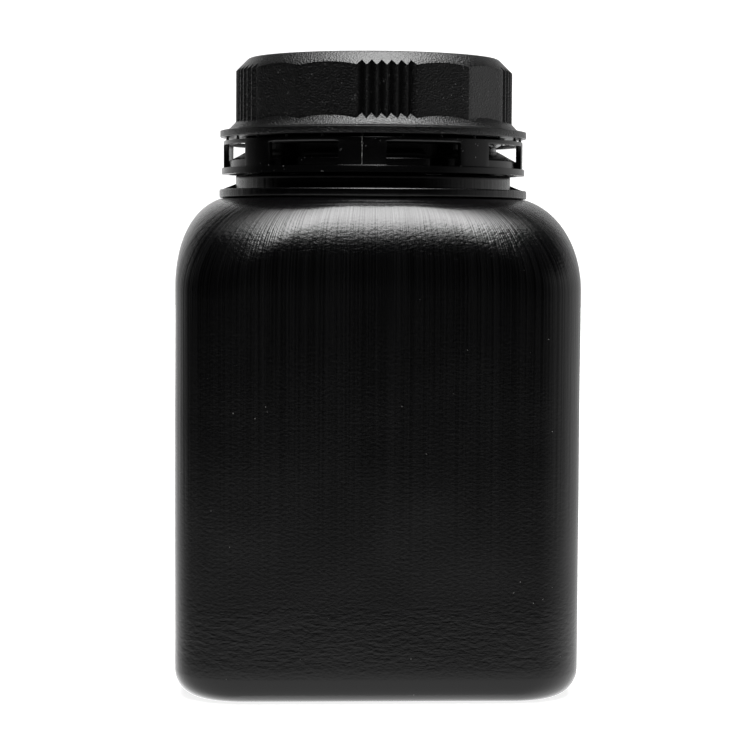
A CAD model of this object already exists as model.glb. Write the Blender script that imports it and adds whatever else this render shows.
# %% [markdown]
# # A square black jar with a tamper-evident cap
#
# This lesson dresses a finished CAD model of a wide-neck plastic jar. The CAD model is a fixed
# frame: it holds the sizes, the joints and the motion, and nothing here moves it. Each visible
# piece is made again as a fine mesh, in metres, in the same place, and then gets a finish that is
# worked out by nodes. The jar body is blow moulded, so it is one soft skin with die lines. The cap
# and its ring are injection moulded, so they have crisp edges and a fine spark-eroded grain.

# %% Load the frame and keep its box
from math import atan2, cos, exp, pi, radians, sin, sqrt, tan

import bmesh
import bpy
from mathutils import Matrix, Vector, noise


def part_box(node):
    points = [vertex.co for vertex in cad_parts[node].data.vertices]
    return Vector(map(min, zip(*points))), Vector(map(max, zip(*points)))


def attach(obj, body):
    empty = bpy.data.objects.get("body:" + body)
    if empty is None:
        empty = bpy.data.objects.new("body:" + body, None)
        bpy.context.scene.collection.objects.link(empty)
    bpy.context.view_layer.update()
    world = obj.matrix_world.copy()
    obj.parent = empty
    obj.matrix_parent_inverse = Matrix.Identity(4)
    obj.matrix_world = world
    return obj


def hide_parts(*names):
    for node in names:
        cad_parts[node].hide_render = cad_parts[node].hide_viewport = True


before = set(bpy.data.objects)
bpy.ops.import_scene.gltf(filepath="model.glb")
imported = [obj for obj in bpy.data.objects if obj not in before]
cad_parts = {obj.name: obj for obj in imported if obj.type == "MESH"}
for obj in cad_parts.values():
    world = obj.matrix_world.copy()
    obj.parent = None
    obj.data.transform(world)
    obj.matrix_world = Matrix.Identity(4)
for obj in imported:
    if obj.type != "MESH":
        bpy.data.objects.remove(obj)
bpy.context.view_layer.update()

# %% [markdown]
# ## Sizes
#
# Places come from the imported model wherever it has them: the jar's width and rim, the ring's foot,
# the cap's flange. The rest are the jar's own few sizes, given once in millimetres here.

# %% Heights and radii that the frame knows
mm = 0.001
jar_low, jar_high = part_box("jar_body")
cap_low, cap_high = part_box("cap")
ring_low, ring_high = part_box("tamper_ring")
liner_low, liner_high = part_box("liner")
pins_low, pins_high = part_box("bridge_pins")

half_width = round((jar_high.x - jar_low.x) / 2, 4)
rim_height = jar_high.z
cap_bottom, cap_top, flange_radius = cap_low.z, cap_high.z, cap_high.x
ring_bottom, ring_top, foot_radius = ring_low.z, ring_high.z, ring_high.x
front = radians(-90)
print(f"half width {half_width / mm:.1f} mm, cap top {cap_top / mm:.1f} mm")

# %% Sizes of the jar body
corner_radius = 17 * mm
base_fillet = 6.5 * mm
wall = 1.6 * mm
push_up, dome_rise = 2.0 * mm, 0.5 * mm
stand_width = 3.0 * mm
recess_ramp, recess_corner = 1.4 * mm, corner_radius - 5.4 * mm
shoulder_start = 99.2 * mm
shoulder_rise = 23.3 * mm
shoulder_core = 33 * mm
face_fullness, corner_fullness = 2.4, 1.8
roundest = 0.98
support_bottom, support_top, support_radius = 121.8 * mm, 124.0 * mm, 39.4 * mm
collar_radius, collar_top = 35.2 * mm, 127.6 * mm
neck_radius, bore_radius = 31.6 * mm, 29.8 * mm
bead_radius, bead_bottom = 33.1 * mm, 135.1 * mm
stand_half = half_width - base_fillet - stand_width
wave_depth, parting_ridge, parting_width = 0.07 * mm, 0.07 * mm, 0.22 * mm
blown_inset = 0.12 * mm

# %% Sizes of the cap, its thread and the ring
cap_radius = 35.5 * mm
cap_inside = 33.4 * mm
top_flat = 32.0 * mm
cap_sides, grooves_per_side, groove_depth = 15, 6, 1.2 * mm
cap_turn = radians(2.5)
ridge_flat = 0.30 * mm / cap_radius
flange_top = cap_bottom + 1.65 * mm
ledge_slope, cone_slope, cone_foot = 0.2, 0.85, 37.0 * mm
top_plate = 2.0 * mm
thread_pitch, thread_turns, thread_fade = 6.0 * mm, 1.5, 0.07
thread_play = 0.3 * mm
thread_start = 141.5 * mm
thread_base, thread_crest = 1.6 * mm, 0.7 * mm
ring_inside, ring_radius = 36.9 * mm, 38.3 * mm
window_bottom, window_top = 129.4 * mm, 135.2 * mm
ring_turn = radians(-6.75)
window_count, post_angle, front_post_angle = 8, radians(14.3), radians(17.8)
flap_count, flap_angle = 6, radians(52)
flap_tip_radius, flap_tip_top = 32.1 * mm, 133.8 * mm
flap_bend, flap_foot, flap_thickness = 131.2 * mm, window_bottom - 0.9 * mm, 0.8 * mm
pin_count, pin_foot_radius, pin_tip_radius = 24, 0.42 * mm, 0.30 * mm

# %% [markdown]
# ## The workbench
#
# A blow-moulded skin and a lathe-turned cap have one thing in common: they are a stack of closed
# rings. One tool makes both. It starts from a circle, extrudes it again and again, and presses
# each new ring into its section. A section is a small function from a direction to a point, so
# a ring can be square, round, grooved or threaded, and the faces between stay even quads.

# %% Extrude one ring from another
def next_ring(mesh, ring):
    """Extrudes a closed ring of vertices and gives the new ring in the same order."""
    edges = [mesh.edges.get(pair) for pair in zip(ring, ring[1:] + ring[:1])]
    grown = bmesh.ops.extrude_edge_only(mesh, edges=edges)["geom"]
    fresh = {item for item in grown if isinstance(item, bmesh.types.BMVert)}
    return [next(edge.other_vert(vert) for edge in vert.link_edges if edge.other_vert(vert) in fresh)
            for vert in ring]


# %% Press a stack of rings into their sections
def loft(sections, directions):
    """A closed skin through sections; a section that is one point closes the skin there."""
    mesh = bmesh.new()
    ring = list(bmesh.ops.create_circle(mesh, segments=len(directions), radius=1)["verts"])
    for step, section in enumerate(sections):
        if step:
            ring = next_ring(mesh, ring)
        for vert, direction in zip(ring, directions):
            vert.co = section(direction)
    bmesh.ops.remove_doubles(mesh, verts=mesh.verts, dist=1e-6)
    bmesh.ops.recalc_face_normals(mesh, faces=mesh.faces)
    return mesh


# %% Sections that every piece uses
def polar(radius, direction, height):
    """A point at a radius and height, in a direction seen from above."""
    return Vector((radius * cos(direction), radius * sin(direction), height))


def round_ring(radius, height):
    """A plain circle."""
    return lambda direction: polar(radius, direction, height)


def arc_stations(centre_radius, centre_height, radius, start, end, steps):
    """Radius and height pairs along an arc of a lathe outline; angles in degrees from outwards."""
    for step in range(steps + 1):
        angle = radians(start + (end - start) * step / steps)
        yield centre_radius + radius * cos(angle), centre_height + radius * sin(angle)


def between(low, high, steps):
    """Evenly spaced values, without the first and the last."""
    return [low + (high - low) * step / steps for step in range(1, steps)]


# %% Bevel only the edges that are sharp
def soften(mesh, width, sharper_than, segments=2, where=lambda vert: True):
    """Rounds the edges that turn by more than an angle in degrees, where a test holds."""
    limit = radians(sharper_than)
    sharp = [edge for edge in mesh.edges
             if len(edge.link_faces) == 2 and edge.calc_face_angle(0) > limit
             and all(where(vert) for vert in edge.verts)]
    bmesh.ops.bevel(mesh, geom=sharp, offset=width, offset_type="OFFSET", segments=segments,
                    profile=0.5, affect="EDGES", clamp_overlap=True, material=-1)
    return len(sharp)


# %% Turn a finished bmesh into a piece that rides on its body
def make_piece(mesh, name, finish, body, replaces=(), crease=32):
    """Smooth-shaded, with creases only where the surface really turns."""
    data = bpy.data.meshes.new(name)
    mesh.to_mesh(data)
    mesh.free()
    data.shade_smooth()
    data.set_sharp_from_angle(angle=radians(crease))
    data.materials.append(finish)
    piece = bpy.data.objects.new(name, data)
    bpy.context.scene.collection.objects.link(piece)
    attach(piece, body)
    if replaces:
        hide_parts(*replaces)
    print(f"{name}: {len(data.vertices)} vertices, {len(data.polygons)} faces")
    return piece


# %% [markdown]
# ## Shader maths in plain Python
#
# A material is easier to read as sums than as a pile of nodes. `Value` wraps a socket, so that
# `0.4 + grain * 0.1` adds the Math nodes by itself. `Nodes` adds them to a tree, and `Finish` is
# the tree of one material, with a method for each pattern.

# %% A socket that takes part in sums
class Value:
    """An output of a node; plus, minus and times add the Math node they stand for."""

    def __init__(self, nodes, socket):
        self.nodes, self.socket = nodes, socket

    def __add__(self, other):
        return self.nodes.maths("ADD", self, other)

    def __radd__(self, other):
        return self.nodes.maths("ADD", other, self)

    def __sub__(self, other):
        return self.nodes.maths("SUBTRACT", self, other)

    def __rsub__(self, other):
        return self.nodes.maths("SUBTRACT", other, self)

    def __mul__(self, other):
        return self.nodes.maths("MULTIPLY", self, other)


# %% A tree of nodes
class Nodes:
    """Adds nodes to a tree, for a material or for the room."""

    def __init__(self, tree):
        self.tree = tree

    def node(self, kind, settings=None, inputs=None, output=0):
        """Adds a node; settings first, then the values or links of its sockets."""
        node = self.tree.nodes.new(kind)
        for key, value in (settings or {}).items():
            if key == "stops":
                ramp = node.color_ramp.elements
                while len(ramp) < len(value):
                    ramp.new(0.5)
                for element, (position, level) in zip(ramp, value):
                    element.position, element.color = position, (level, level, level, 1)
            else:
                setattr(node, key, value)
        for key, value in (inputs or {}).items():
            if isinstance(value, Value):
                self.tree.links.new(value.socket, node.inputs[key])
            else:
                node.inputs[key].default_value = value
        return Value(self, node.outputs[output])

    def parts(self, vector):
        """The three numbers of a vector."""
        split = self.node("ShaderNodeSeparateXYZ", {}, {"Vector": vector})
        return [Value(self, socket) for socket in split.socket.node.outputs]

    def maths(self, operation, first, second):
        """A Math node of two values."""
        return self.node("ShaderNodeMath", {"operation": operation}, {0: first, 1: second})

    def vectors(self, operation, vector, inputs):
        """A Vector Math node of a vector and one more input."""
        return self.node("ShaderNodeVectorMath", {"operation": operation}, {0: vector, **inputs})

    def crystals(self, vector, scale):
        """Distance to the nearest of many scattered points, for grains, cells and specks."""
        return self.node("ShaderNodeTexVoronoi", {"feature": "F1"},
                         {"Vector": vector, "Scale": scale}, "Distance")

    def smooth(self, value, start, end):
        """0 at the start and 1 at the end, with an eased change between."""
        return self.node("ShaderNodeMapRange", {"interpolation_type": "SMOOTHSTEP"},
                         {"Value": value, "From Min": start, "From Max": end})


# %% A material
class Finish(Nodes):
    """One plastic, foam or paper; what is even all over is set by keyword."""

    def __init__(self, name, **even):
        self.material = bpy.data.materials.new(name)
        self.material.use_nodes = True
        super().__init__(self.material.node_tree)
        self.shader = self.tree.nodes["Principled BSDF"]
        for socket, value in even.items():
            self.shader.inputs[socket.replace("_", " ")].default_value = value
        self.place = self.node("ShaderNodeTexCoord", output="Object")
        self.height = self.parts(self.place)[2]

    def feed(self, socket, value):
        """Links a value that varies over the surface to the shader."""
        self.tree.links.new(value.socket, self.shader.inputs[socket])

    def stretched(self, across, along, up):
        """The piece's own coordinates, each multiplied, for a pattern with a direction."""
        return self.node("ShaderNodeMapping", {}, {"Vector": self.place, "Scale": (across, along, up)})

    def around(self, across, up):
        """Coordinates that run round the axis and up it, so lines follow the skin over the shoulder."""
        flat = self.vectors("MULTIPLY", self.place, {1: (1, 1, 0)})
        direction = self.vectors("NORMALIZE", flat, {})
        wide = self.vectors("SCALE", direction, {"Scale": across})
        tall = self.vectors("MULTIPLY", self.place, {1: (0, 0, up)})
        return self.vectors("ADD", wide, {1: tall})

    def cloud(self, scale, detail=2.0, roughness=0.5, vector=None, distortion=0.0):
        """Soft noise from 0 to 1."""
        return self.node("ShaderNodeTexNoise", {"noise_dimensions": "3D"},
                         {"Vector": vector or self.place, "Scale": scale, "Detail": detail,
                          "Roughness": roughness, "Distortion": distortion}, "Fac")

    def ramp(self, value, *stops):
        """A value passed through a curve of (position, level) stops."""
        return self.node("ShaderNodeValToRGB", {"stops": stops}, {"Fac": value}, "Color")

    def band(self, low, high, fade):
        """1 between two heights and 0 outside them, with a soft change."""
        return self.smooth(self.height, low, low + fade) * self.smooth(self.height, high, high - fade)

    def mix(self, factor, first, second):
        """A colour between two."""
        return self.node("ShaderNodeMix", {"data_type": "RGBA"},
                         {"Factor": factor, 6: first, 7: second}, 2)

    def relief(self, height, depth):
        """Feeds a height from 0 to 1, as deep as given in metres, to the shader's normal."""
        bump = self.node("ShaderNodeBump", {}, {"Height": height, "Distance": depth}, "Normal")
        self.feed("Normal", bump)

    def specks(self, scale, size):
        """Sparse round specks of dust: 1 on a speck and 0 off it."""
        cell = self.crystals(self.place, scale)
        chance = self.cloud(scale * 0.37, 0.0)
        return self.ramp(cell, (0.0, 1.0), (size, 0.0)) * self.ramp(chance, (0.66, 0.0), (0.7, 1.0))


print("workbench ready")

# %% [markdown]
# ## The finish of the blow-moulded body
#
# Extruded polyethylene keeps fine upright die lines from the parison, and a matt, slightly pebbled
# skin from the sand-blasted mould. Low on the body, where the hot skin met the cold mould first,
# it has shallow level wrinkles. All of this is height, so it goes into one relief. The die lines
# also come out as faint streaks, a little paler and glossier, that fade out at both ends.

# %% Black polyethylene with die lines, pebble and wrinkles
jar_finish = Finish("black_blow_moulded_polyethylene", IOR=1.5, Coat_Roughness=0.12)
die_lines = jar_finish.cloud(1.0, 2.0, vector=jar_finish.around(125, 9))
broad_lines = jar_finish.cloud(1.0, 1.0, vector=jar_finish.around(17, 4))
pebble = jar_finish.cloud(1.0, 2.0, 0.55, vector=jar_finish.stretched(950, 950, 1500))
wrinkles = jar_finish.cloud(1.0, 2.0, 0.5, vector=jar_finish.stretched(400, 400, 1150), distortion=0.35)
lined = jar_finish.band(0.030, 0.150, 0.030)
pebbled = jar_finish.band(0.102, 0.1190, 0.006)
wrinkled = jar_finish.band(0.004, 0.028, 0.008)
jar_height = (die_lines * lined * 0.40 + broad_lines * lined * 0.30
              + pebble * (0.12 + pebbled * 0.28) + wrinkles * wrinkled * 0.20)
jar_finish.relief(jar_height, 0.20 * mm)
jar_dust = jar_finish.specks(420, 0.07)
streaks = jar_finish.ramp(die_lines, (0.38, 0.0), (0.66, 1.0))
streaks = streaks * jar_finish.smooth(jar_finish.height, 0.0, 0.090)
streaks = streaks * jar_finish.smooth(jar_finish.height, 0.128, 0.119)
jar_finish.feed("Coat Weight", streaks * 0.18)
jar_tone = jar_finish.mix(streaks, (0.0003, 0.0003, 0.0004, 1), (0.0036, 0.0036, 0.0038, 1))
jar_finish.feed("Base Color", jar_finish.mix(jar_dust, jar_tone, (0.32, 0.32, 0.31, 1)))
jar_finish.feed("Roughness", 0.145 + pebble * 0.03 + jar_finish.cloud(35, 2.0) * 0.03)

# %% [markdown]
# ## The finish of the moulded cap and ring
#
# The cap's mould was spark eroded, which leaves a fine even grain of tiny pits, so its chamfer
# glitters where the light grazes it. The ring is the same plastic with a finer grain. Where the
# ring's mould leaked, a thread of flash was torn away, and torn black plastic turns white.

# %% Black injection-moulded plastic
def moulded_finish(name, grain_size, depth, shine):
    """A spark-eroded black; the size of its grain and the depth of its pits are in metres."""
    finish = Finish(name, IOR=1.5)
    grain = finish.cloud(1 / grain_size, 2.0, 0.6)
    pits = finish.crystals(finish.place, 0.8 / grain_size)
    finish.relief(grain * 0.4 + pits * 0.6, depth)
    tone = finish.mix(finish.cloud(90, 3.0), (0.0008, 0.0008, 0.0009, 1), (0.0016, 0.0016, 0.0017, 1))
    glints = finish.specks(1 / (0.9 * mm), 0.30)
    tone = finish.mix(glints, tone, (0.10, 0.10, 0.10, 1))
    finish.feed("Base Color", finish.mix(finish.specks(520, 0.09), tone, (0.30, 0.30, 0.29, 1)))
    finish.feed("Roughness", shine + grain * 0.12)
    return finish.material


cap_finish = moulded_finish("black_spark_eroded_plastic", 0.36 * mm, 0.13 * mm, 0.23)
ring_finish = moulded_finish("black_ring_plastic", 0.25 * mm, 0.016 * mm, 0.14)

# %% Torn, whitened plastic
torn = Finish("whitened_flash", IOR=1.5)
torn_grain = torn.cloud(1 / (0.5 * mm), 2.0)
torn.feed("Base Color", torn.mix(torn.ramp(torn_grain, (0.48, 0.0), (0.64, 1.0)),
                                 (0.02, 0.02, 0.02, 1), (0.34, 0.34, 0.33, 1)))
torn.feed("Roughness", 0.4 + torn_grain * 0.2)
torn.relief(torn_grain, 0.05 * mm)

# %% [markdown]
# ## The liner's finish
#
# The disc under the cap is closed-cell foam with a thin skin: off-white, soft, with a very fine
# cell pattern.

# %% Off-white foam
foam = Finish("foamed_liner", IOR=1.45)
cells = foam.crystals(foam.place, 1900.0)
foam.relief(cells * 0.6 + foam.cloud(700, 2.0) * 0.4, 0.05 * mm)
foam.feed("Base Color", foam.mix(foam.cloud(220, 3.0), (0.70, 0.70, 0.66, 1), (0.82, 0.82, 0.79, 1)))
foam.feed("Roughness", 0.62 + cells * 0.15)
print("finishes ready")

# %% [markdown]
# ## The jar body
#
# The body is one skin from the middle of the base, out and up over the shoulder and the neck, over
# the rim, and down the inside again to the middle of the floor. The square part is a rounded
# square; over the shoulder its corners open out until it is round at the neck. The columns are
# spaced on the straight body, so that its flats and its corner rounds are both even.

# %% Directions of the jar's columns
def rounded_square(half, rounding, direction):
    """Distance from the axis to a square with rounded corners, in a direction."""
    turn = abs((direction + pi / 4) % (pi / 2) - pi / 4)
    if half * tan(turn) <= half - rounding:
        return half / cos(turn)
    inset = half - rounding
    along = inset * (cos(turn) + sin(turn))
    return along + sqrt(max(0.0, along ** 2 - 2 * inset ** 2 + rounding ** 2))


flat_half = half_width - corner_radius
quarter = [atan2(flat_half * step / 14, half_width) for step in range(15)]
quarter += [atan2(flat_half + corner_radius * sin(turn), flat_half + corner_radius * cos(turn))
            for turn in between(0, pi / 2, 16)]
quarter += [pi / 2 - turn for turn in quarter[14:0:-1]]
seam_columns = [0.3 * mm / half_width, 0.8 * mm / half_width]
jar_directions = [turn + pi / 2 * side for side in range(4) for turn in quarter]
jar_directions += [side + sign * turn for side in (0.0, pi) for turn in seam_columns for sign in (-1, 1)]
jar_directions = sorted(direction % (2 * pi) for direction in jar_directions)
print(len(jar_directions), "columns")


# %% Soft unevenness of a blown wall, and the mould's parting line
def blown(section, amount=1.0):
    """A section with the slow waves of a blown wall and a fine ridge at the mould's parting."""
    def place(direction):
        point = section(direction)
        outward = Vector((point.x, point.y, 0)).normalized()
        waves = noise.noise(point * 38 + Vector((7, 3, 1))) + 0.5 * noise.noise(point * 90)
        parting = exp(-((point.y / parting_width) ** 2))
        return point + outward * amount * (wave_depth * waves + parting_ridge * parting - blown_inset)
    return place


def square_ring(half, rounding, height, amount=1.0):
    """A rounded square at a height."""
    plain = lambda direction: polar(rounded_square(half, rounding, direction), direction, height)
    return blown(plain, amount) if amount else plain


# %% The shoulder, outside and inside
def shoulder(inset, last_angle, steps, amount):
    """Sections of the shoulder from the straight wall up towards the neck, set in by a wall or not."""
    core = shoulder_core - inset
    corner_reach = sqrt(2) * half_width - (sqrt(2) - 1) * corner_radius - shoulder_core
    for step in range(1, steps + 1):
        angle = radians(last_angle) * step / steps
        climb = sin(angle) ** (2 / face_fullness)
        face = core + (half_width - shoulder_core) * cos(angle) ** (2 / face_fullness)
        corner = core + corner_reach * (1 - climb ** corner_fullness) ** (1 / corner_fullness)
        rounding = (sqrt(2) * face - corner) / (sqrt(2) - 1)
        height = shoulder_start + (shoulder_rise - inset) * climb
        yield square_ring(face, min(rounding, roundest * face), height, amount * (1 - climb ** 4))


# %% A thread is a height over the wall that follows a helix
def thread_height(direction, height, start_height, start_direction):
    """0 on the wall and 1 on the crest of a helical rib that fades in and out at its ends."""
    turn = ((direction - start_direction) / (2 * pi)) % 1.0
    best = 0.0
    for lap in range(-1, 3):
        along = turn + lap
        if not 0 <= along <= thread_turns:
            continue
        off = abs(height - start_height - along * thread_pitch)
        flank = min(1.0, max(0.0, (thread_base - off) / (thread_base - thread_crest)))
        fade = min(1.0, along / thread_fade, (thread_turns - along) / thread_fade)
        best = max(best, flank * fade)
    return best


def threaded(radius, reach, height, start_height, start_direction):
    """A circle that the thread lifts outwards, or inwards where reach is negative."""
    def place(direction):
        lift = thread_height(direction, height, start_height, start_direction)
        return polar(radius + reach * lift, direction, height)
    return place


# %% Sections of the base and the straight wall
def base_sections():
    """From the middle of the base to the foot of the wall: push-up, standing rim, rounded edge."""
    recess_half = stand_half - recess_ramp
    yield lambda direction: Vector((0, 0, push_up + dome_rise))
    for share in (0.05, 0.15, 0.3, 0.5, 0.7, 0.85, 0.95):
        dome = push_up + dome_rise * (1 - share ** 2)
        yield square_ring(recess_half * share, recess_corner * share, dome, 0)
    for share in (0.0, 0.25, 0.5, 0.75, 1.0):
        ease = share * share * (3 - 2 * share)
        yield square_ring(recess_half + recess_ramp * share, recess_corner + recess_ramp * share,
                          push_up * (1 - ease), 0)
    for step in range(11):
        angle = radians(9 * step)
        set_in = base_fillet * (1 - sin(angle))
        yield square_ring(half_width - set_in, corner_radius - set_in,
                          base_fillet * (1 - cos(angle)), sin(angle))


def wall_sections(inset, low, high, steps, amount):
    """The straight wall."""
    for height in between(low, high, steps) + [high]:
        yield square_ring(half_width - inset, corner_radius - inset, height, amount)


# %% Sections of the neck, outside
def lathe(pairs):
    """Round sections from radius and height pairs."""
    for radius, height in pairs:
        yield round_ring(radius, height)


def neck_outside():
    """Support ring, collar, groove, bead, thread and rim."""
    rounding = 0.45 * mm
    yield from lathe([(support_radius - 1.3 * mm, support_bottom - 0.06 * mm),
                      (support_radius - 1.2 * mm, support_bottom)])
    edge_radius = support_radius - rounding
    yield from lathe(arc_stations(edge_radius, support_bottom + rounding, rounding, -90, 0, 4))
    yield from lathe(arc_stations(edge_radius, support_top - rounding, rounding, 0, 90, 4))
    yield from lathe([(support_radius - 1.5 * mm, support_top),
                      (collar_radius + 0.4 * mm, support_top),
                      (collar_radius + 0.1 * mm, support_top + 0.1 * mm),
                      (collar_radius, support_top + 0.4 * mm),
                      (collar_radius, support_top + 1.8 * mm),
                      (collar_radius, collar_top - 0.3 * mm),
                      (collar_radius - 0.25 * mm, collar_top),
                      (neck_radius + 0.3 * mm, collar_top + 1.75 * mm),
                      (neck_radius, collar_top + 2.2 * mm),
                      (neck_radius, collar_top + 4 * mm),
                      (neck_radius, bead_bottom - 0.1 * mm)])
    yield from lathe([(bead_radius - 0.3 * mm, bead_bottom + 0.5 * mm),
                      (bead_radius, bead_bottom + 0.9 * mm),
                      (bead_radius, bead_bottom + 1.5 * mm),
                      (bead_radius - 0.3 * mm, bead_bottom + 1.9 * mm),
                      (neck_radius + 0.1 * mm, bead_bottom + 2.7 * mm)])
    for height in between(bead_bottom + 2.8 * mm, rim_height - 1.2 * mm, 50):
        yield threaded(neck_radius, bead_radius - neck_radius, height, thread_start, front)
    yield from lathe(arc_stations(neck_radius - 0.5 * mm, rim_height - 0.5 * mm, 0.5 * mm, 0, 90, 5))


# %% Sections of the inside, from the rim down to the middle of the floor
def jar_inside():
    """Bore, widened collar, shoulder, wall, rounded floor edge and raised floor."""
    collar_inside = collar_radius - wall
    yield from lathe(arc_stations(bore_radius + 0.4 * mm, rim_height - 0.4 * mm, 0.4 * mm, 90, 180, 4))
    yield from lathe([(bore_radius, height * mm) for height in (149, 143, 137, 132, 129.9)])
    yield from lathe([(bore_radius + 0.3 * mm, collar_top + 1.2 * mm),
                      (collar_inside, collar_top - 1.2 * mm),
                      (collar_inside, support_top), (collar_inside, support_bottom - 0.5 * mm)])
    yield from reversed(list(shoulder(wall, 84, 16, 0.0)))
    inner_fillet = base_fillet - wall
    yield from wall_sections(wall, shoulder_start, base_fillet, 8, 0.0)
    for step in range(1, 8):
        angle = radians(90 - 90 * step / 7)
        set_in = inner_fillet * (1 - sin(angle))
        yield square_ring(half_width - wall - set_in, corner_radius - wall - set_in,
                          wall + inner_fillet * (1 - cos(angle)), 0)
    floor_half, floor_corner, floor_height = stand_half - 1.5 * mm, 8 * mm, wall + push_up
    yield square_ring(stand_half + 1.0 * mm, 9 * mm, wall, 0)
    yield square_ring(floor_half, floor_corner, floor_height, 0)
    for share in (0.7, 0.4, 0.15):
        yield square_ring(floor_half * share, floor_corner * share, floor_height + 0.3 * mm, 0)
    yield lambda direction: Vector((0, 0, floor_height + 0.4 * mm))


# %% Make the jar body
jar_sections = [*base_sections(), *wall_sections(0, base_fillet, shoulder_start, 36, 1.0),
                *shoulder(0, 72, 26, 1.0), *neck_outside(), *jar_inside()]
jar_mesh = loft(jar_sections, jar_directions)
make_piece(jar_mesh, "jar_body_skin", jar_finish.material, "jar", ["jar_body"], crease=40)

# %% [markdown]
# ## Gussets and the weld under the base
#
# Two small webs brace the neck at the mould's parting. Under the base, the same parting leaves a
# weld where the mould pinched the hot tube shut.

# %% Neck gussets
gusset_width = 1.6 * mm
gusset_reach = {True: support_radius - 0.8 * mm, False: collar_radius - 0.4 * mm}
gusset_tops = {True: support_top + 0.05 * mm, False: support_top + 1.5 * mm}
gussets = bmesh.new()
for side in (-1, 1):
    for vert in bmesh.ops.create_cube(gussets, size=1)["verts"]:
        outer, upper = vert.co.x > 0, vert.co.z > 0
        height = gusset_tops[outer] if upper else support_top - 0.4 * mm
        vert.co = Vector((side * gusset_reach[outer], vert.co.y * gusset_width, height))
bmesh.ops.recalc_face_normals(gussets, faces=gussets.faces)
soften(gussets, 0.15 * mm, 30)
make_piece(gussets, "neck_gussets", jar_finish.material, "jar")

# %% Pinch-off weld
weld = bmesh.new()
weld_half, weld_half_width, weld_thickness = stand_half - 6 * mm, 0.6 * mm, 0.5 * mm
bmesh.ops.create_grid(weld, x_segments=60, y_segments=4, size=1)
for vert in weld.verts:
    ridge = 1 - vert.co.y ** 2
    ends = 1 - vert.co.x ** 8
    wobble = 0.15 * mm * noise.noise(Vector((vert.co.x * 9, 0, 0)))
    sink = (0.75 + 0.12 * noise.noise(Vector((vert.co.x * 14, 5, 0)))) * mm * ridge * ends
    dome = push_up + dome_rise * (1 - vert.co.x ** 2)
    vert.co = Vector((vert.co.x * weld_half, vert.co.y * weld_half_width + wobble,
                      dome + weld_thickness / 2 - sink))
skin = bmesh.ops.extrude_face_region(weld, geom=weld.faces[:])["geom"]
bmesh.ops.translate(weld, verts=[item for item in skin if isinstance(item, bmesh.types.BMVert)],
                    vec=(0, 0, weld_thickness))
bmesh.ops.recalc_face_normals(weld, faces=weld.faces)
make_piece(weld, "pinch_off_weld", jar_finish.material, "jar")

# %% [markdown]
# ## The screw cap
#
# The grip is a fifteen-sided prism, and every third side is a row of six V grooves. A 45 degree
# chamfer cuts its top, and a skirt closes its foot: a nearly level ledge with a steeper cone inside
# it. So both meet the flats in low arches and the grooves in little points. Each ring of the cap
# therefore follows the grip's outline in plan and lets its height vary with the radius.

# %% Directions and radii of the grip's columns
grip = []
side_angle = 2 * pi / cap_sides
apothem = cap_radius * cos(side_angle / 2)
for side in range(cap_sides):
    start = front + cap_turn + (side - 0.5) * side_angle
    if side % 3 == 0:
        count = 2 * grooves_per_side
        for step in range(count):
            middle = start + side_angle * step / count
            if step % 2:
                grip.append((middle, cap_radius - groove_depth))
            else:
                grip += [(middle - ridge_flat / 2, cap_radius), (middle + ridge_flat / 2, cap_radius)]
    else:
        for step in range(8):
            turn = side_angle * (step / 8 - 0.5)
            grip.append((start + side_angle * step / 8, apothem / cos(turn)))
grip_radius = dict(grip)
grip_directions = [direction for direction, radius in grip]
print(len(grip), "columns round the grip")


# %% Sections of the cap
def grip_ring(height_at):
    """A ring on the grip's outline, at a height worked out from its radius."""
    return lambda direction: polar(grip_radius[direction], direction, height_at(grip_radius[direction]))


def chamfer_height(radius):
    """Height of the 45 degree chamfer at a radius."""
    return cap_top - (radius - top_flat)


def flare_height(radius):
    """Height of the skirt at a radius: the ledge, and the cone on top of it further in."""
    ledge = flange_top + ledge_slope * (flange_radius - radius)
    return ledge + cone_slope * max(0.0, cone_foot - radius)


def cap_outside():
    """From the middle of the top, over the chamfer and the grip, to the flange's foot."""
    panel, panel_depth, rounding = top_flat - 4 * mm, 0.5 * mm, 1.2 * mm
    floor_height = cap_top - panel_depth
    yield lambda direction: Vector((0, 0, floor_height + 0.25 * mm))
    gate_mark = [(0.9, 0.25), (1.4, 0.35), (1.6, 0.3), (1.7, 0.05)]
    yield from lathe([(radius * mm, floor_height + rise * mm) for radius, rise in gate_mark])
    yield from lathe([(radius * mm, floor_height) for radius in (2.0, 6, 14, 22)])
    yield from lathe([(panel - 0.7 * mm, floor_height), (panel - 0.45 * mm, floor_height + 0.06 * mm),
                      (panel - 0.1 * mm, cap_top - 0.08 * mm), (panel + 0.15 * mm, cap_top)])
    tangent = rounding * tan(radians(22.5))
    yield round_ring(top_flat - 2.4 * mm, cap_top)
    yield from lathe(arc_stations(top_flat - tangent, cap_top - rounding, rounding, 90, 45, 5))
    chamfer_middle = 33.6 * mm
    yield round_ring(chamfer_middle, chamfer_height(chamfer_middle))
    yield grip_ring(chamfer_height)
    for share in (0.04, 0.35, 0.65, 0.96):
        yield grip_ring(lambda radius, share=share:
                        chamfer_height(radius) * (1 - share) + flare_height(radius) * share)
    yield grip_ring(flare_height)
    rounding = 0.12 * mm
    for radius in (36.3, 36.8, 37.1, 37.5, 38.4):
        yield round_ring(radius * mm, flare_height(radius * mm))
    yield from lathe(arc_stations(flange_radius - rounding, flange_top - rounding, rounding, 78, 0, 4))
    yield from lathe(arc_stations(flange_radius - rounding, cap_bottom + rounding, rounding, 0, -90, 4))


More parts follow.
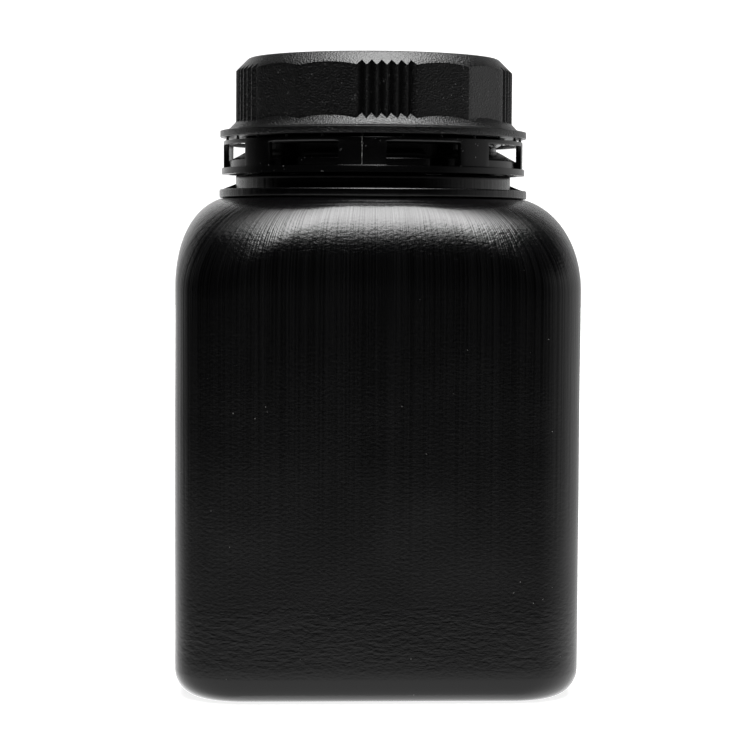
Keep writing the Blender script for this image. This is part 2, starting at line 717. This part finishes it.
def cap_hollow():
    """From the flange's foot, up the threaded wall, to the middle of the ceiling."""
    yield from lathe([(37 * mm, cap_bottom), (cap_inside + 0.75 * mm, cap_bottom),
                      (cap_inside + 0.55 * mm, cap_bottom + 0.08 * mm),
                      (cap_inside + 0.08 * mm, cap_bottom + 0.6 * mm),
                      (cap_inside, cap_bottom + 0.8 * mm)])
    reach = cap_inside - neck_radius - thread_play
    start_height = thread_start + thread_pitch / 2 - (thread_base + thread_crest + thread_play)
    for height in between(cap_bottom + 0.8 * mm, cap_top - top_plate - 0.6 * mm, 50):
        yield threaded(cap_inside, -reach, height, start_height, front + pi)
    ceiling = cap_top - top_plate
    yield from lathe([(cap_inside, ceiling - 0.5 * mm), (cap_inside - 0.2 * mm, ceiling - 0.12 * mm),
                      (cap_inside - 0.6 * mm, ceiling), (20 * mm, ceiling), (8 * mm, ceiling)])
    yield lambda direction: Vector((0, 0, ceiling))


# %% Make the cap
cap_mesh = loft([*cap_outside(), *cap_hollow()], grip_directions)
outside_wall = lambda vert: vert.co.xy.length > cap_inside + 1 * mm
rounded_edges = soften(cap_mesh, 0.10 * mm, 14, 2, outside_wall)
print(rounded_edges, "edges rounded")
make_piece(cap_mesh, "cap_shell", cap_finish, "cap", ["cap"], crease=30)

# %% [markdown]
# ## The liner
#
# A turned disc. The rim of the neck has pressed a shallow ring into its underside.

# %% Make the liner
def liner_sections():
    """Underside with the rim's print, rounded edge and top."""
    radius, edge = liner_high.x, 0.3 * mm
    yield lambda direction: Vector((0, 0, liner_low.z))
    print_height = liner_low.z + 0.1 * mm
    yield from lathe([(8 * mm, liner_low.z), (20 * mm, liner_low.z), (29.3 * mm, liner_low.z),
                      (29.7 * mm, print_height), (31.6 * mm, print_height), (32.0 * mm, liner_low.z)])
    yield from lathe(arc_stations(radius - edge, liner_low.z + edge, edge, -90, 0, 4))
    yield from lathe(arc_stations(radius - edge, liner_high.z - edge, edge, 0, 90, 4))
    yield from lathe([(24 * mm, liner_high.z), (10 * mm, liner_high.z)])
    yield lambda direction: Vector((0, 0, liner_high.z))


even_directions = [radians(2.5) * step for step in range(144)]
liner_mesh = loft(list(liner_sections()), even_directions)
make_piece(liner_mesh, "liner_disc", foam.material, "liner", ["liner"])

# %% [markdown]
# ## The tamper ring
#
# The band is drawn as its outer skin only: a cylinder with columns at the edges of the posts. The
# windows are faces that are taken out, and the wall comes from giving the skin a thickness, so
# every window gets its own clean sill and jambs. The foot is the bottom row of faces, pushed out.

# %% Columns of the band, with an edge at each side of each post
window_pitch = 2 * pi / window_count
band_columns = []
for post in range(window_count):
    centre = front + ring_turn + post * window_pitch
    wide = front_post_angle if post == 0 else post_angle
    following = front_post_angle if post == window_count - 1 else post_angle
    post_start, post_end = centre - wide / 2, centre + wide / 2
    window_end = centre + window_pitch - following / 2
    band_columns += [(direction, False) for direction in [post_start] + between(post_start, post_end, 6)]
    band_columns += [(direction, True) for direction in [post_end] + between(post_end, window_end, 12)]
band_directions = [direction for direction, open_here in band_columns]

# %% Make the band
band_heights = [ring_bottom, window_bottom, window_top, ring_top]
band = bmesh.new()
ring = list(bmesh.ops.create_circle(band, segments=len(band_directions), radius=1)["verts"])
rows = []
for height in band_heights:
    if rows:
        ring = next_ring(band, ring)
    for vert, direction in zip(ring, band_directions):
        vert.co = polar(ring_radius, direction, height)
    rows.append(ring)
sill_row, lintel_row = rows[1], rows[2]
windows = []
for index, (direction, open_here) in enumerate(band_columns):
    following = (index + 1) % len(band_columns)
    if open_here:
        corners = [sill_row[index], sill_row[following], lintel_row[following], lintel_row[index]]
        windows.append(band.faces.get(corners))
bmesh.ops.delete(band, geom=windows, context="FACES")
bmesh.ops.recalc_face_normals(band, faces=band.faces)
outward = sum(face.normal.dot(face.calc_center_median()) for face in band.faces)
if outward < 0:
    bmesh.ops.reverse_faces(band, faces=band.faces)
bmesh.ops.solidify(band, geom=band.faces[:], thickness=ring_radius - ring_inside)
radii = [vert.co.xy.length for vert in band.verts]
print(f"band from {min(radii) / mm:.2f} to {max(radii) / mm:.2f} mm")
margin = 0.1 * mm
foot = [face for face in band.faces
        if max(vert.co.z for vert in face.verts) < window_bottom + margin
        and min(vert.co.xy.length for vert in face.verts) > ring_radius - margin]
pushed = bmesh.ops.extrude_face_region(band, geom=foot)["geom"]
for vert in [item for item in pushed if isinstance(item, bmesh.types.BMVert)]:
    vert.co.xy = vert.co.xy.normalized() * foot_radius
bmesh.ops.delete(band, geom=[face for face in foot if face.is_valid], context="FACES_ONLY")
bmesh.ops.recalc_face_normals(band, faces=band.faces)
soften(band, 0.20 * mm, 30, 2, lambda vert: vert.co.z > ring_bottom + 0.5 * mm)
make_piece(band, "tamper_band", ring_finish, "ring", ["tamper_ring"], crease=30)

# %% [markdown]
# ## Flaps, flash line and bridge pins
#
# A flap is a bent strip, spun through its angle. The flash line on the front post is where the
# two halves of the ring's mould met. The pins are short tapered posts; they snap at first opening.

# %% Spin the flaps
flaps = bmesh.new()
flap_back, flap_face = ring_inside - 0.05 * mm, ring_inside - flap_thickness
flap_outline = [(flap_back, flap_foot), (flap_back, flap_bend),
                (flap_tip_radius, flap_tip_top), (flap_tip_radius, flap_tip_top - flap_thickness),
                (flap_face, flap_bend - flap_thickness / 2), (flap_face, flap_foot)]
for flap in range(flap_count):
    start = front + ring_turn + 2 * pi / flap_count * flap - flap_angle / 2
    corners = [flaps.verts.new(polar(radius, start, height)) for radius, height in flap_outline]
    strip = flaps.faces.new(corners)
    bmesh.ops.spin(flaps, geom=[strip, *strip.edges, *corners], cent=(0, 0, 0), axis=(0, 0, 1),
                   angle=flap_angle, steps=18, use_merge=False, use_duplicate=False)
bmesh.ops.recalc_face_normals(flaps, faces=flaps.faces)
soften(flaps, 0.12 * mm, 20)
make_piece(flaps, "retaining_flaps", ring_finish, "ring")

# %% Flash line on the front post
flash = bmesh.new()
flash_width, flash_sunk, flash_proud = 0.18 * mm, 0.3 * mm, 0.10
flash_length = ring_top - window_bottom - 0.1 * mm
bmesh.ops.create_cube(flash, size=1)
uprights = [edge for edge in flash.edges if abs(edge.verts[0].co.z - edge.verts[1].co.z) > 0.5]
bmesh.ops.subdivide_edges(flash, edges=uprights, cuts=24)
seam_direction = front + ring_turn
for vert in flash.verts:
    wobble = 0.10 * mm * noise.noise(Vector((0, vert.co.z * 11, 3)))
    raggedness = 0.05 * noise.noise(Vector((4, vert.co.z * 9, 0)))
    proud = (flash_proud + raggedness) * mm if vert.co.x > 0 else -flash_sunk
    height = window_bottom + (vert.co.z + 0.5) * flash_length
    aside = (vert.co.y * flash_width + wobble) / ring_radius
    vert.co = polar(ring_radius + proud, seam_direction + aside, height)
bmesh.ops.recalc_face_normals(flash, faces=flash.faces)
make_piece(flash, "post_flash_line", torn.material, "ring")

# %% Bridge pins
pins = bmesh.new()
pin_circle = (ring_inside + ring_radius) / 2
for pin in range(pin_count):
    direction = front + ring_turn + 2 * pi / pin_count * pin
    place = Matrix.Translation(polar(pin_circle, direction, (pins_low.z + pins_high.z) / 2))
    bmesh.ops.create_cone(pins, cap_ends=True, segments=10, radius1=pin_foot_radius,
                          radius2=pin_tip_radius, depth=pins_high.z - pins_low.z, matrix=place)
soften(pins, 0.06 * mm, 60, 1)
make_piece(pins, "bridge_pin_posts", ring_finish, "ring", ["bridge_pins"])

# %% [markdown]
# ## The studio
#
# Black plastic shows nothing but reflections, so the room is planned as what each surface sees. A
# white floor and a white round wall stand behind every view, but are kept out of the reflections.
# The jar reflects a broad soft box overhead, a dark room in front, paler sides and a pale floor.
# Each of these is a smooth function of direction: `across` runs to the right, `depth` away from the
# camera and `height` up. The angles are counted from the direction that points at the camera.

# %% Floor and round wall
paper = Finish("pale_paper", Roughness=0.9, IOR=1.3, Base_Color=(0.5, 0.5, 0.5, 1),
               Emission_Color=(1, 1, 1, 1), Emission_Strength=0.86)
stage_radius, stage_height = 3.0, 4.0
stage_mesh = bmesh.new()
floor_disc = bmesh.ops.create_circle(stage_mesh, cap_ends=True, segments=96, radius=stage_radius)
wall_ring = next_ring(stage_mesh, list(floor_disc["verts"]))
bmesh.ops.translate(stage_mesh, verts=wall_ring, vec=(0, 0, stage_height))
bmesh.ops.recalc_face_normals(stage_mesh, faces=stage_mesh.faces)
bmesh.ops.reverse_faces(stage_mesh, faces=stage_mesh.faces)
stage_data = bpy.data.meshes.new("studio_stage")
stage_mesh.to_mesh(stage_data)
stage_mesh.free()
stage_data.materials.append(paper.material)
stage = bpy.data.objects.new("studio_stage", stage_data)
stage.visible_glossy = stage.visible_diffuse = stage.visible_shadow = False
bpy.context.scene.collection.objects.link(stage)


# %% The room that the jar reflects
dark_light, box_light, right_light, left_light, floor_light = 0.004, 12.3, 0.56, 0.92, 0.93
room = bpy.data.worlds.new("soft_room")
room.use_nodes = True
sky = Nodes(room.node_tree)
across, depth, height = sky.parts(sky.node("ShaderNodeTexCoord"))
rise_from_front = sky.maths("ARCTAN2", height, 0 - depth)
turn_from_front = sky.maths("ARCTAN2", across, 0 - depth)
front_edge = sky.smooth(rise_from_front - across * across * radians(260), radians(32), radians(64))
back_edge = sky.smooth(rise_from_front, radians(138), radians(74))
left_edge, right_edge = sky.smooth(across, -0.55, -0.04), sky.smooth(across, 0.53, 0.33)
overhead = front_edge * back_edge * left_edge * right_edge * box_light
low = sky.smooth(height, 0.56, 0.23)
right_side = sky.smooth(turn_from_front, radians(39), radians(132)) * low * right_light
left_side = sky.smooth(turn_from_front, radians(-98), radians(-170)) * low * left_light
pale_floor = sky.smooth(height, -0.07, -0.31) * floor_light
room_light = dark_light + overhead + right_side + left_side + pale_floor
background = room.node_tree.nodes["Background"]
room.node_tree.links.new(room_light.socket, background.inputs["Color"])
bpy.context.scene.world = room
bpy.context.scene.view_settings.view_transform = "Standard"
print("room ready")

# %% [markdown]
# ## The camera
#
# A long lens, a little above the middle of the jar and a little to its left, tipped down by a few
# degrees.

# %% Camera
sensor_width, focal_length = 36, 112.8
distance, camera_height = 606 * mm, 113.4 * mm
camera_azimuth, pitch, roll, aim_right = radians(-2.75), radians(3.49), radians(0.36), radians(0.08)
camera_data = bpy.data.cameras.new("camera")
camera_data.sensor_width = sensor_width
camera_data.lens = focal_length
camera = bpy.data.objects.new("camera", camera_data)
place = Vector((distance * sin(camera_azimuth), -distance * cos(camera_azimuth), camera_height))
camera.matrix_world = (Matrix.Translation(place) @ Matrix.Rotation(camera_azimuth - aim_right, 4, "Z")
                       @ Matrix.Rotation(radians(90) - pitch, 4, "X") @ Matrix.Rotation(roll, 4, "Z"))
bpy.context.scene.collection.objects.link(camera)
bpy.context.scene.camera = camera
